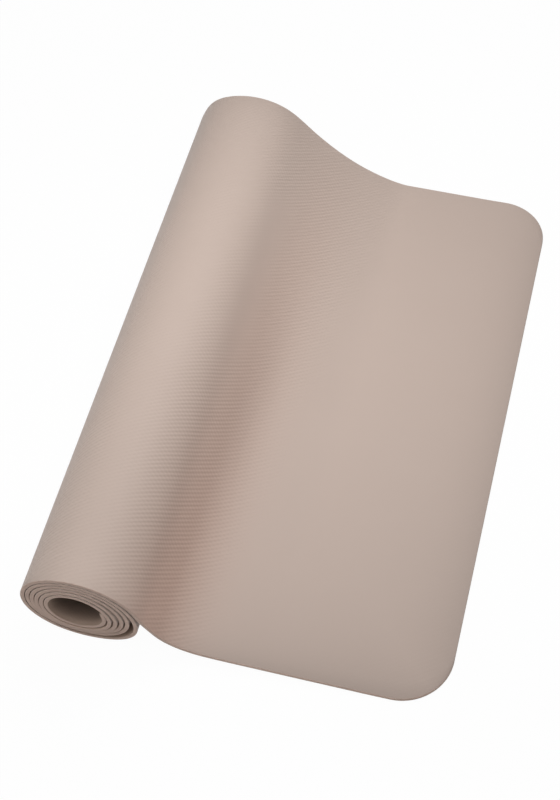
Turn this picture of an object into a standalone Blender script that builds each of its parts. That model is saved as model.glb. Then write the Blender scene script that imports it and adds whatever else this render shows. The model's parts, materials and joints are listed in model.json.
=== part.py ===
"""Yoga mat, rolled up but for its free end, which falls from the top of the roll and lies flat.

The mat is one long sheet of three bonded layers: an embossed top foam, a thin woven scrim and a base foam.
Each layer is a solid of its own, cut square to the sheet along the lines where the free end flexes.
An empty lies on each of those lines, and carries the strips beyond it and the next empty.
Metres, +Z up. X runs from the roll to the free edge and Y along the roll. The origin is on the floor under
the middle of the whole mat. Heights and X values below are from the floor and from the roll's own centre.
"""

import math

import bmesh
import bpy
import numpy as np
from mathutils import Matrix, Vector

# The sheet, with the glue lines between its layers and the cuts where it flexes
SHEET_WIDTH = 0.610
SHEET_THICKNESS = 0.0040
SCRIM_THICKNESS = 0.0003
LAYER_GAP = 0.0003
JOINT_GAP = 0.0003
CORNER_RADIUS = 0.050

# The winding: the sheet's centre line round the roll's centre. It is tight on the side away from the free end.
# Every turn is fuller low on the free side, and the outermost one stands off the next there, at the bulge.
TURNS = 5.780
INNER_RADIUS = 0.0251
PITCH = 0.00480
PITCH_OVALITY = 0.00030
PITCH_TO_FREE_SIDE = 0.00033
FULLNESS = 0.0027
FULLNESS_ANGLE = math.radians(246)
FULLNESS_SPREAD = math.radians(38)
BULGE = 0.0040
BULGE_ANGLE = math.radians(238)
BULGE_SPREAD = math.radians(33)
FACETS_PER_TURN = 40
CAST_OFF_ANGLE = math.radians(63)

# The fall: the sheet's centre line from the roll to the floor, which is fuller at the far end.
# The near end stays on the winding down to the right side, and the far end lifts off it before the top.
NEAR_LEAVES_WINDING = math.radians(-42)
NEAR_FALL = ((0.0570, 0.0672), (0.0627, 0.0522), (0.0700, 0.0390), (0.0783, 0.0267),
             (0.0919, 0.0165), (0.1066, 0.0112), (0.1286, 0.0085), (0.1580, 0.0071))
FAR_FALL = ((-0.0312, 0.0969), (-0.0039, 0.1098), (0.0232, 0.1104), (0.0489, 0.1002), (0.0745, 0.0750),
            (0.1012, 0.0488), (0.1284, 0.0285), (0.1563, 0.0142))
FALL_PARTS = ("crest", "slope", "trough")
FALL_CUTS = (0.0, 0.34, 0.67, 1.0)
FALL_STEPS = 15
WIDTH_STEPS = 3

# The flap: a shallow ramp down to the floor, then flat as far as the free edge
LANDING_X = 0.185
LANDING_HEIGHT = 0.0060
FLAT_X = 0.285
FREE_EDGE_X = 0.345
RAMP_STRIPS = 3

# Each layer's lower and upper face, measured from the sheet's centre line
LAYERS = {
    "top_foam": (SCRIM_THICKNESS / 2 + LAYER_GAP, SHEET_THICKNESS / 2),
    "scrim": (-SCRIM_THICKNESS / 2, SCRIM_THICKNESS / 2),
    "base_foam": (-SHEET_THICKNESS / 2, -SCRIM_THICKNESS / 2 - LAYER_GAP),
}

FINISHES = {
    "top_foam": ((0.50, 0.42, 0.38), 0.80),
    "scrim": ((0.72, 0.70, 0.66), 0.90),
    "base_foam": ((0.44, 0.37, 0.33), 0.85),
}


def clear_scene():
    for old in list(bpy.data.objects):
        bpy.data.objects.remove(old, do_unlink=True)


def make_collection(name):
    collection = bpy.data.collections.new(name)
    bpy.context.scene.collection.children.link(collection)
    return collection


def make_material(name, colour, roughness):
    material = bpy.data.materials.new(name)
    material.use_nodes = True
    shader = material.node_tree.nodes["Principled BSDF"]
    shader.inputs["Base Color"].default_value = (*colour, 1.0)
    shader.inputs["Roughness"].default_value = roughness
    shader.inputs["Metallic"].default_value = 0.0
    return material


def swelling(angle, height, middle, spread):
    """A smooth rise of the radius round one direction."""
    from_middle = (angle - middle + math.pi) % (2 * math.pi) - math.pi
    return height * math.exp(-((from_middle / spread) ** 2))


def winding_offset(angle):
    """From the roll's centre to the sheet's centre line. The angle is 0 at the top and grows inwards."""
    turns_left = TURNS - angle / (2 * math.pi)
    pitch = PITCH - PITCH_OVALITY * math.cos(2 * angle) - PITCH_TO_FREE_SIDE * math.sin(angle)
    radius = INNER_RADIUS + turns_left * pitch
    radius += swelling(angle, FULLNESS, FULLNESS_ANGLE, FULLNESS_SPREAD)
    if angle < BULGE_ANGLE + math.pi:
        radius += swelling(angle, BULGE, BULGE_ANGLE, BULGE_SPREAD)
    return np.array((-radius * math.sin(angle), radius * math.cos(angle)))


def outer_turn():
    return np.array([winding_offset(angle) for angle in np.linspace(0.0, 2 * math.pi, 721)])


def roll_centre():
    """The roll's centre, at the height that sets its outermost turn on the floor."""
    return np.array((0.0, SHEET_THICKNESS / 2 - outer_turn()[:, 1].min()))


def middle_x():
    left = outer_turn()[:, 0].min() - SHEET_THICKNESS / 2
    return (left + FREE_EDGE_X) / 2


def winding_line():
    """The wound sheet from its inner end to the cast-off line, with the corners of all turns in line."""
    step = 2 * math.pi / FACETS_PER_TURN
    inner_angle = TURNS * 2 * math.pi
    lead = JOINT_GAP / np.linalg.norm(winding_offset(CAST_OFF_ANGLE))
    angles = [inner_angle]
    corner = math.floor(inner_angle / step - 0.5)
    while corner * step > CAST_OFF_ANGLE + step / 2:
        angles.append(corner * step)
        corner -= 1
    angles += [CAST_OFF_ANGLE + 1.5 * lead, CAST_OFF_ANGLE + 0.5 * lead]
    return [roll_centre() + winding_offset(angle) for angle in angles]


def smooth_line(knots, steps):
    """Points on the cubic spline through the knots."""
    knots = np.array(knots)
    spans = np.linalg.norm(np.diff(knots, axis=0), axis=1)
    along = np.concatenate(([0.0], np.cumsum(spans)))
    count = len(knots)
    system = np.eye(count)
    right = np.zeros((count, 2))
    for i in range(1, count - 1):
        system[i, i - 1:i + 2] = (spans[i - 1], 2 * (spans[i - 1] + spans[i]), spans[i])
        right[i] = 6 * ((knots[i + 1] - knots[i]) / spans[i] - (knots[i] - knots[i - 1]) / spans[i - 1])
    bend = np.linalg.solve(system, right)
    points = []
    for distance in np.linspace(0.0, along[-1], steps):
        i = min(int(np.searchsorted(along, distance, side="right")) - 1, count - 2)
        ahead = along[i + 1] - distance
        behind = distance - along[i]
        span = spans[i]
        chord = (knots[i] * ahead + knots[i + 1] * behind) / span
        before = bend[i] * (ahead ** 3 / span - span * ahead)
        after = bend[i + 1] * (behind ** 3 / span - span * behind)
        points.append(chord + (before + after) / 6)
    return np.array(points)


def ramp_height(x):
    share = (FLAT_X - x) / (FLAT_X - LANDING_X)
    return SHEET_THICKNESS / 2 + (LANDING_HEIGHT - SHEET_THICKNESS / 2) * share


def fall_line(leaves_at, knots):
    """The fall's centre line at one end of the roll, from the cast-off line to the landing."""
    lead = math.radians(12)
    count = max(2, round((CAST_OFF_ANGLE + lead - leaves_at) / math.radians(9)) + 1)
    wound = [roll_centre() + winding_offset(angle)
             for angle in np.linspace(CAST_OFF_ANGLE + lead, leaves_at, count)]
    ramp = [(x, ramp_height(x)) for x in (LANDING_X, LANDING_X + 0.015, FLAT_X)]
    line = smooth_line(wound + list(knots) + ramp, 4000)
    start = roll_centre() + winding_offset(CAST_OFF_ANGLE)
    first = int(np.argmin(np.linalg.norm(line - start, axis=1)))
    last = int(np.argmin(np.linalg.norm(line - np.array(ramp[0]), axis=1)))
    return line[first:last + 1]


def stretch(line, start, end, steps):
    """Evenly spaced points on a stretch of a line, with a short straight lead at each cut."""
    along = np.concatenate(([0.0], np.cumsum(np.linalg.norm(np.diff(line, axis=0), axis=1))))
    low = start * along[-1] + JOINT_GAP / 2
    high = end * along[-1] - JOINT_GAP / 2
    wanted = np.concatenate(([low], np.linspace(low + JOINT_GAP, high - JOINT_GAP, steps), [high]))
    return [np.array([np.interp(at, along, line[:, axis]) for axis in (0, 1)]) for at in wanted]


def sheet_layer(name, near, far, faces, collection):
    """A grid bent along two lines of points, one at each end of the roll, and thickened to one layer."""
    low, high = faces
    steps = len(near) - 1
    rows = 1 if near is far else WIDTH_STEPS
    mesh = bmesh.new()
    bmesh.ops.create_grid(mesh, x_segments=steps, y_segments=rows, size=0.5)
    for vertex in mesh.verts:
        step = round((vertex.co.x + 0.5) * steps)
        share = vertex.co.y + 0.5
        x, z = near[step] + (far[step] - near[step]) * share
        vertex.co = (x - middle_x(), SHEET_WIDTH * (share - 0.5), z)
    for face in mesh.faces:
        face.smooth = True
    for edge in mesh.edges:
        edge.smooth = not edge.is_boundary
    data = bpy.data.meshes.new(name)
    mesh.to_mesh(data)
    mesh.free()
    piece = bpy.data.objects.new(name, data)
    collection.objects.link(piece)
    shell = piece.modifiers.new("thickness", "SOLIDIFY")
    shell.thickness = high - low
    shell.offset = (high + low) / (high - low)
    shell.use_even_offset = True
    return piece


def end_strip(name, faces, collection):
    """The last strip, flat on the floor, with the two rounded corners of the free edge."""
    low, high = faces
    length = FREE_EDGE_X - FLAT_X - JOINT_GAP / 2
    half = SHEET_WIDTH / 2
    square = CORNER_RADIUS * 4 * (math.sqrt(2) - 1) / 3
    outline = bpy.data.curves.new(name, "CURVE")
    outline.dimensions = "2D"
    outline.fill_mode = "BOTH"
    outline.extrude = (high - low) / 2
    outline.resolution_u = 14
    spline = outline.splines.new("BEZIER")
    spline.bezier_points.add(5)
    # Each point of the outline, with the headings in which it is left backwards and forwards along an arc
    still = (0, 0)
    corners = ((0.0, half, still, still), (0.0, -half, still, still),
               (length - CORNER_RADIUS, -half, still, (1, 0)), (length, CORNER_RADIUS - half, (0, -1), still),
               (length, half - CORNER_RADIUS, still, (0, 1)), (length - CORNER_RADIUS, half, (1, 0), still))
    for point, (x, y, back, ahead) in zip(spline.bezier_points, corners):
        point.co = (x, y, 0)
        point.handle_left_type = "FREE"
        point.handle_right_type = "FREE"
        point.handle_left = (x + back[0] * square, y + back[1] * square, 0)
        point.handle_right = (x + ahead[0] * square, y + ahead[1] * square, 0)
    spline.use_cyclic_u = True
    piece = bpy.data.objects.new(name, outline)
    middle = SHEET_THICKNESS / 2 + (high + low) / 2
    piece.location = (FLAT_X + JOINT_GAP / 2 - middle_x(), 0, middle)
    collection.objects.link(piece)
    return piece


def build_winding(layer, collection):
    line = winding_line()
    return sheet_layer(layer + "_winding", line, line, LAYERS[layer], collection)


def build_fall(layer, lines, collection):
    """The crest over the roll, the slope beside it and the trough where the sheet comes down."""
    pieces = {}
    for name, start, end in zip(FALL_PARTS, FALL_CUTS, FALL_CUTS[1:]):
        near, far = [stretch(line, start, end, FALL_STEPS) for line in lines]
        pieces[name] = sheet_layer(layer + "_" + name, near, far, LAYERS[layer], collection)
    return pieces


def ramp_line():
    return np.array([(x, ramp_height(x)) for x in (LANDING_X, FLAT_X)])


def build_flap(layer, collection):
    """The strips of the ramp and the end strip with the rounded corners."""
    pieces = {}
    for number in range(RAMP_STRIPS):
        line = stretch(ramp_line(), number / RAMP_STRIPS, (number + 1) / RAMP_STRIPS, 2)
        name = "flap_%d" % (number + 1)
        pieces[name] = sheet_layer(layer + "_" + name, line, line, LAYERS[layer], collection)
    pieces["flap_end"] = end_strip(layer + "_flap_end", LAYERS[layer], collection)
    return pieces


def top_point(line, share):
    """The point of the sheet's top face that lies over a place on a centre line."""
    along = np.concatenate(([0.0], np.cumsum(np.linalg.norm(np.diff(line, axis=0), axis=1))))
    here = share * along[-1]
    at, before, after = [np.array([np.interp(place, along, line[:, axis]) for axis in (0, 1)])
                         for place in (here, here - JOINT_GAP, here + JOINT_GAP)]
    run = (after - before) / np.linalg.norm(after - before)
    return at + np.array((-run[1], run[0])) * SHEET_THICKNESS / 2 - (middle_x(), 0.0)


def hinge_lines(lines):
    """The near and far ends of each cut's line on the top face, by the name of the strip beyond the cut."""
    cuts = {name: (lines, share) for name, share in zip(FALL_PARTS[1:], FALL_CUTS[1:])}
    cuts["flap_1"] = (lines, FALL_CUTS[-1])
    for number in range(1, RAMP_STRIPS):
        cuts["flap_%d" % (number + 1)] = ((ramp_line(), ramp_line()), number / RAMP_STRIPS)
    cuts["flap_end"] = ((ramp_line(), ramp_line()), 1.0)
    return {name: [top_point(line, share) for line in ends] for name, (ends, share) in cuts.items()}


def build_hinges(lines, collection):
    """An empty on each hinge line, its Y axis from the far end to the near one, on the empty before it."""
    hinges = {}
    places = {}
    last = None
    for name, (near, far) in hinge_lines(lines).items():
        near_end = Vector((near[0], -SHEET_WIDTH / 2, near[1]))
        far_end = Vector((far[0], SHEET_WIDTH / 2, far[1]))
        turn = (near_end - far_end).to_track_quat("Y", "Z").to_matrix().to_4x4()
        place = Matrix.Translation((near_end + far_end) / 2) @ turn
        hinge = bpy.data.objects.new(name + "_hinge", None)
        hinge.empty_display_size = SHEET_WIDTH / 20
        collection.objects.link(hinge)
        if last:
            hinge.parent = hinges[last]
            hinge.matrix_basis = places[last].inverted() @ place
        else:
            hinge.matrix_basis = place
        hinges[name] = hinge
        places[name] = place
        last = name
    return hinges, places


def hang(piece, hinge, place):
    """Put a strip on the empty at its hinge line and leave it where it is."""
    piece.parent = hinge
    piece.matrix_parent_inverse = place.inverted()


def report_winding():
    """Print the winding's least gap to itself, measured between points of neighbouring turns, and the length."""
    inner_angle = TURNS * 2 * math.pi
    angles = np.linspace(CAST_OFF_ANGLE, inner_angle, 4001)
    line = np.array([winding_offset(angle) for angle in angles])
    gap = 1.0
    for index in range(0, len(line), 5):
        beyond = line[angles > angles[index] + math.pi]
        if len(beyond):
            gap = min(gap, np.linalg.norm(beyond - line[index], axis=1).min() - SHEET_THICKNESS)
    length = np.linalg.norm(np.diff(line, axis=0), axis=1).sum()
    print("winding: least gap to itself %.2f mm, length %.0f mm" % (gap * 1000, length * 1000))


def report_hinges(lines):
    for name, (near, far) in hinge_lines(lines).items():
        print("%s turns on near x %.5f z %.5f, far x %.5f z %.5f" % (name, *near, *far))


def main():
    clear_scene()
    collection = make_collection("yoga_mat")
    lines = (fall_line(NEAR_LEAVES_WINDING, NEAR_FALL), fall_line(CAST_OFF_ANGLE, FAR_FALL))
    hinges, places = build_hinges(lines, collection)
    for layer, (colour, roughness) in FINISHES.items():
        material = make_material(layer, colour, roughness)
        pieces = {"winding": build_winding(layer, collection)}
        pieces.update(build_fall(layer, lines, collection))
        pieces.update(build_flap(layer, collection))
        for name, piece in pieces.items():
            piece.data.materials.append(material)
            if name in hinges:
                hang(piece, hinges[name], places[name])
    report_winding()
    report_hinges(lines)


main()
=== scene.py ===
"""Dresses the yoga mat: a foam sheet wound into a roll, whose free end comes down in an S-bend and lies flat.

The sheet is drawn in stretches. The inner turns are one wound strip, the outer half turn and the crest follow
it, and each stretch beyond holds one joint near its middle. All stretches are cut from the same pair of
lines, one at each end of the roll, so that they meet with nothing to see between them. Metres, +Z up.
"""

from __future__ import annotations

import json
import logging
import math
from dataclasses import dataclass, field
from enum import Enum
from typing import Any, Mapping, Sequence

import bpy
import numpy as np
from mathutils import Matrix, Vector


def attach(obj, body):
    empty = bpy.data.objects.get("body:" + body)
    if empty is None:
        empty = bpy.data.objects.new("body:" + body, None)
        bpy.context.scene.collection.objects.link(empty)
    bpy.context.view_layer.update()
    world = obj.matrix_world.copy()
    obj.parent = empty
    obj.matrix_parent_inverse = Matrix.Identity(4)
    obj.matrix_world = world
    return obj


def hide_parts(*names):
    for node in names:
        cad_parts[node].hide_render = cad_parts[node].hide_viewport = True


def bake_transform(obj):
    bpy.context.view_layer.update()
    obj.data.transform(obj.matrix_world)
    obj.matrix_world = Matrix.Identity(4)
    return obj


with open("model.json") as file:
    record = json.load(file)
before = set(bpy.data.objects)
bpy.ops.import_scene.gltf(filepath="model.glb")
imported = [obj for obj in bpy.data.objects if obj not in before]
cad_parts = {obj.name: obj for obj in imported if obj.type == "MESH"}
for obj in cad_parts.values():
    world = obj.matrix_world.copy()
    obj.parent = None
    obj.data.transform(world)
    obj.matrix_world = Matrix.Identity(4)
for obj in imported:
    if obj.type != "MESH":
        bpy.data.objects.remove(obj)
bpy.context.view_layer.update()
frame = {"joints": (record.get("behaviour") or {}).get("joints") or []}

Array = np.ndarray
Colour = tuple[float, float, float]
Piece = bpy.types.Object
Socket = bpy.types.NodeSocket
Stops = Sequence[tuple[float, float]]

TURN = 2 * math.pi
QUARTER_TURN = math.pi / 2
WHITE = (1.0, 1.0, 1.0, 1.0)
MILLIMETRE = 0.001

# How nodes are laid out, and the colour inputs of a Mix node, which follow those for numbers and vectors
NODES_IN_ROW = 10
NODE_SPACING = (220, -260)
MIX_COLOURS = (6, 7)

log = logging.getLogger("yoga_mat")


def add_object(name: str, data: bpy.types.ID) -> Piece:
    """Adds an object to the scene.

    Args:
        name: the object's name.
        data: its mesh, lamp or camera.

    Returns:
        The object, at the origin.
    """
    thing = bpy.data.objects.new(name, data)
    bpy.context.scene.collection.objects.link(thing)
    return thing


# The mat's sizes and the lines that it follows


@dataclass(frozen=True)
class MatSizes:
    """The sheet, its winding, its fall from the roll and its flap, measured as the solids are."""

    width: float = 0.610
    thickness: float = 0.0040
    corner_radius: float = 0.050
    edge_radius: float = 0.0004
    turns: float = 5.780
    inner_radius: float = 0.0251
    pitch: float = 0.00480
    pitch_ovality: float = 0.00030
    pitch_to_free_side: float = 0.00033
    fullness: float = 0.0027
    fullness_angle: float = math.radians(246)
    fullness_spread: float = math.radians(38)
    bulge: float = 0.0040
    bulge_angle: float = math.radians(238)
    bulge_spread: float = math.radians(33)
    telescoping: Stops = (
        (172, 0.0), (225, 0.0003), (290, 0.0003), (360, 0.0004), (450, -0.0002), (510, -0.0005), (540, -0.0004),
        (570, 0.0001), (630, 0.0), (720, 0.0006), (900, 0.0006), (1080, 0.0010), (1260, 0.0023), (1440, 0.0018),
        (1620, 0.0032), (1800, 0.0024), (1980, 0.0025), (2081, 0.0011),
    )
    outer_strip_angle: float = math.radians(172)
    cast_off_angle: float = math.radians(63)
    near_leaves_winding: float = math.radians(-42)
    fall_lead: float = math.radians(12)
    fall_knot_step: float = math.radians(9)
    near_fall: Stops = (
        (0.0570, 0.0672), (0.0627, 0.0522), (0.0700, 0.0390), (0.0783, 0.0267),
        (0.0919, 0.0165), (0.1066, 0.0112), (0.1286, 0.0085), (0.1580, 0.0071),
    )
    far_fall: Stops = (
        (-0.0312, 0.0969), (-0.0039, 0.1098), (0.0232, 0.1104), (0.0489, 0.1002), (0.0745, 0.0750),
        (0.1012, 0.0488), (0.1284, 0.0285), (0.1563, 0.0142),
    )
    fall_cuts: tuple[float, ...] = (0.34, 0.67, 1.0)
    landing_x: float = 0.185
    landing_height: float = 0.0060
    landing_knot: float = 0.015
    flat_x: float = 0.285
    flat_ease: float = 0.015
    free_edge_x: float = 0.345
    ramp_strips: int = 3
    outer_turn_points: int = 721

    def winding_radius(self, angle: Array | float) -> Array | float:
        """Gives the distance from the roll's centre to the sheet's centre line.

        Args:
            angle: radians, 0 at the top of the roll and growing inwards along the sheet.

        Returns:
            The radius, of the angle's own kind.
        """
        turns_left = self.turns - angle / TURN
        pitch = self.pitch - self.pitch_ovality * np.cos(2 * angle) - self.pitch_to_free_side * np.sin(angle)
        fullness = self._swelling(angle, self.fullness, self.fullness_angle, self.fullness_spread)
        bulge = self._swelling(angle, self.bulge, self.bulge_angle, self.bulge_spread)
        outer = angle < self.bulge_angle + math.pi
        return self.inner_radius + turns_left * pitch + fullness + np.where(outer, bulge, 0.0)

    @staticmethod
    def _swelling(angle: Array | float, height: float, middle: float, spread: float) -> Array | float:
        """Gives a smooth rise of the radius round one direction."""
        from_middle = (angle - middle + math.pi) % TURN - math.pi
        return height * np.exp(-((from_middle / spread) ** 2))

    def wound(self, angle: Array) -> Array:
        """Gives points of the winding's centre line, from the roll's centre, one row for each angle."""
        radius = self.winding_radius(angle)
        return np.stack((-radius * np.sin(angle), radius * np.cos(angle)), axis=-1)

    def centre(self) -> Array:
        """Places the roll so that its lowest turn stands on the floor and the whole mat lies about X 0.

        Returns:
            The roll's centre, as X and Z.
        """
        outer_turn = self.wound(np.linspace(0.0, TURN, self.outer_turn_points))
        height = self.thickness / 2 - outer_turn[:, 1].min()
        middle = (outer_turn[:, 0].min() - self.thickness / 2 + self.free_edge_x) / 2
        return np.array((-middle, height))

    def ramp_height(self, x: Array | float) -> Array | float:
        """Gives the centre line's height on the flap, which runs down to the floor and then lies on it.

        Args:
            x: the distance from the roll's centre.

        Returns:
            The height, of the argument's own kind.
        """
        fall = (self.landing_height - self.thickness / 2) / (self.flat_x - self.landing_x)
        left = self.flat_x - np.asarray(x, float)
        eased = fall * (left + self.flat_ease) ** 2 / (4 * self.flat_ease)
        height = np.where(left > self.flat_ease, fall * left, np.where(left > -self.flat_ease, eased, 0.0))
        return self.thickness / 2 + height


def spline_through(knots: Array, count: int) -> Array:
    """Draws the natural cubic spline through knots.

    Args:
        knots: one row for each point that the line passes.
        count: how many points to give.

    Returns:
        Points at even steps of the chord length.
    """
    spans = np.linalg.norm(np.diff(knots, axis=0), axis=1)
    along = np.concatenate(([0.0], np.cumsum(spans)))
    last = len(knots) - 1
    system = np.eye(len(knots))
    right = np.zeros_like(knots)
    for i in range(1, last):
        system[i, i - 1 : i + 2] = (spans[i - 1], 2 * (spans[i - 1] + spans[i]), spans[i])
        right[i] = 6 * ((knots[i + 1] - knots[i]) / spans[i] - (knots[i] - knots[i - 1]) / spans[i - 1])
    bend = np.linalg.solve(system, right)
    wanted = np.linspace(0.0, along[-1], count)
    i = np.clip(np.searchsorted(along, wanted, side="right") - 1, 0, last - 1)
    span = spans[i][:, None]
    ahead = (along[i + 1] - wanted)[:, None]
    behind = (wanted - along[i])[:, None]
    chord = (knots[i] * ahead + knots[i + 1] * behind) / span
    before = bend[i] * (ahead**3 / span - span * ahead)
    after = bend[i + 1] * (behind**3 / span - span * behind)
    return chord + (before + after) / 6


def distances(line: Array) -> Array:
    """Gives the distance along a line at each of its points."""
    return np.concatenate(([0.0], np.cumsum(np.linalg.norm(np.diff(line, axis=0), axis=1))))


def at_share(line: Array, shares: Array) -> Array:
    """Finds places on a line by their shares of its length.

    Args:
        line: its points.
        shares: from 0 at its start to 1 at its end.

    Returns:
        The points there.
    """
    along = distances(line)
    wanted = shares * along[-1]
    return np.stack([np.interp(wanted, along, line[:, axis]) for axis in (0, 1)], axis=-1)


@dataclass
class SheetLines:
    """The sheet from the bottom of the outermost turn to the free edge, as a line at each end of the roll.

    Between the two lines it is ruled straight across. Places along it are distances of the mean line.
    """

    sizes: MatSizes
    wound_points: int = 450
    spline_points: int = 6000
    fall_points: int = 1400
    flap_points: int = 801
    heading_step: float = 0.0005
    near: Array = field(init=False)
    far: Array = field(init=False)
    near_up: Array = field(init=False)
    far_up: Array = field(init=False)
    along: Array = field(init=False)
    cuts: dict[str, float] = field(init=False)

    def __post_init__(self) -> None:
        """Draws both lines and finds the places of the cuts, where the joints are."""
        sizes = self.sizes
        centre = sizes.centre()
        angles = np.linspace(sizes.outer_strip_angle, sizes.cast_off_angle, self.wound_points)
        wound = centre + sizes.wound(angles)
        shares = np.linspace(0.0, 1.0, self.fall_points)[1:]
        falls = [
            at_share(self._fall(sizes.near_leaves_winding, sizes.near_fall), shares),
            at_share(self._fall(sizes.cast_off_angle, sizes.far_fall), shares),
        ]
        x = np.linspace(sizes.landing_x, sizes.free_edge_x, self.flap_points)[1:]
        flap = np.stack((x + centre[0], sizes.ramp_height(x)), axis=-1)
        self.near, self.far = [np.concatenate((wound, fall, flap)) for fall in falls]
        self.near_up, self.far_up = self._up(self.near), self._up(self.far)
        self.along = distances((self.near + self.far) / 2)
        fall_start = len(wound) - 1
        landing = fall_start + len(shares)
        rows = np.arange(len(self.along))
        self.cuts = {
            name: float(np.interp(fall_start + cut * len(shares), rows, self.along))
            for name, cut in zip(("slope", "trough", "flap_1"), sizes.fall_cuts)
        }
        for number in range(1, sizes.ramp_strips + 1):
            share = number / sizes.ramp_strips
            cut_x = sizes.landing_x + share * (sizes.flat_x - sizes.landing_x) + centre[0]
            name = "flap_end" if number == sizes.ramp_strips else f"flap_{number + 1}"
            self.cuts[name] = float(np.interp(cut_x, self.near[landing:, 0], self.along[landing:]))

    def _fall(self, leaves_at: float, knots: Stops) -> Array:
        """Draws the fall at one end of the roll.

        Args:
            leaves_at: the angle at which the sheet leaves the winding there.
            knots: points that it passes beyond that, from the roll's own centre and from the floor.

        Returns:
            Points from the cast-off line to the landing.
        """
        sizes = self.sizes
        centre = sizes.centre()
        first_angle = sizes.cast_off_angle + sizes.fall_lead
        count = max(2, round((first_angle - leaves_at) / sizes.fall_knot_step) + 1)
        wound = centre + sizes.wound(np.linspace(first_angle, leaves_at, count))
        ramp_x = (sizes.landing_x, sizes.landing_x + sizes.landing_knot, sizes.flat_x - sizes.flat_ease)
        ramp = np.array([(x, float(sizes.ramp_height(x))) for x in ramp_x])
        shift = np.array((centre[0], 0.0))
        passed = np.concatenate((wound, np.array(knots) + shift, ramp + shift))
        line = spline_through(passed, self.spline_points)
        start = centre + sizes.wound(np.array(sizes.cast_off_angle))
        first = int(np.argmin(np.linalg.norm(line - start, axis=1)))
        last = int(np.argmin(np.linalg.norm(line - ramp[0] - shift, axis=1)))
        return line[first : last + 1]

    @staticmethod
    def _up(line: Array) -> Array:
        """Finds which way the embossed face looks.

        Args:
            line: the points of one of the two lines.

        Returns:
            The line's unit normals on the face's side.
        """
        run = np.gradient(line, axis=0)
        run /= np.linalg.norm(run, axis=1)[:, None]
        return np.stack((-run[:, 1], run[:, 0]), axis=-1)

    def section(self, place: float) -> tuple[Array, ...]:
        """Gives the sheet's cross-section at a place.

        Args:
            place: the distance along the mean line.

        Returns:
            The near point, the far point and their normals, each as X and Z.
        """
        parts = (self.near, self.far, self.near_up, self.far_up)
        return tuple(
            np.array([np.interp(place, self.along, part[:, axis]) for axis in (0, 1)]) for part in parts
        )

    def heading(self, place: float) -> Vector:
        """Finds which way the sheet runs at a place, halfway across it.

        Args:
            place: the distance along the mean line.

        Returns:
            A unit vector, towards the free edge.
        """
        around = (place - self.heading_step, place + self.heading_step)
        behind, ahead = [sum(self.section(at)[:2]) / 2 for at in around]
        run = ahead - behind
        return Vector((run[0], 0.0, run[1])).normalized()


# Nodes


class Value:
    """A number in a node tree. Arithmetic on it adds Math nodes."""

    def __init__(self, bench: Bench, socket: Socket) -> None:
        """Wraps an output socket.

        Args:
            bench: the bench that adds nodes to the socket's tree.
            socket: the output that gives the number.
        """
        self.bench = bench
        self.socket = socket

    def __add__(self, other: Value | float) -> Value:
        """Adds."""
        return self.bench.math("ADD", self, other)

    def __radd__(self, other: float) -> Value:
        """Adds to a number."""
        return self.bench.math("ADD", other, self)

    def __sub__(self, other: Value | float) -> Value:
        """Subtracts."""
        return self.bench.math("SUBTRACT", self, other)

    def __rsub__(self, other: float) -> Value:
        """Subtracts from a number."""
        return self.bench.math("SUBTRACT", other, self)

    def __mul__(self, other: Value | float) -> Value:
        """Multiplies."""
        return self.bench.math("MULTIPLY", self, other)

    def __rmul__(self, other: float) -> Value:
        """Multiplies a number."""
        return self.bench.math("MULTIPLY", other, self)

    def __truediv__(self, other: Value | float) -> Value:
        """Divides."""
        return self.bench.math("DIVIDE", self, other)

    def __rtruediv__(self, other: float) -> Value:
        """Divides a number."""
        return self.bench.math("DIVIDE", other, self)

    def __neg__(self) -> Value:
        """Changes the sign."""
        return self.bench.math("MULTIPLY", self, -1.0)

    def __lt__(self, other: Value | float) -> Value:
        """Gives 1 where it is less and 0 elsewhere."""
        return self.bench.math("LESS_THAN", self, other)

    def __gt__(self, other: Value | float) -> Value:
        """Gives 1 where it is more and 0 elsewhere."""
        return self.bench.math("GREATER_THAN", self, other)

    def __abs__(self) -> Value:
        """Drops the sign."""
        return self.bench.math("ABSOLUTE", self)


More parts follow.
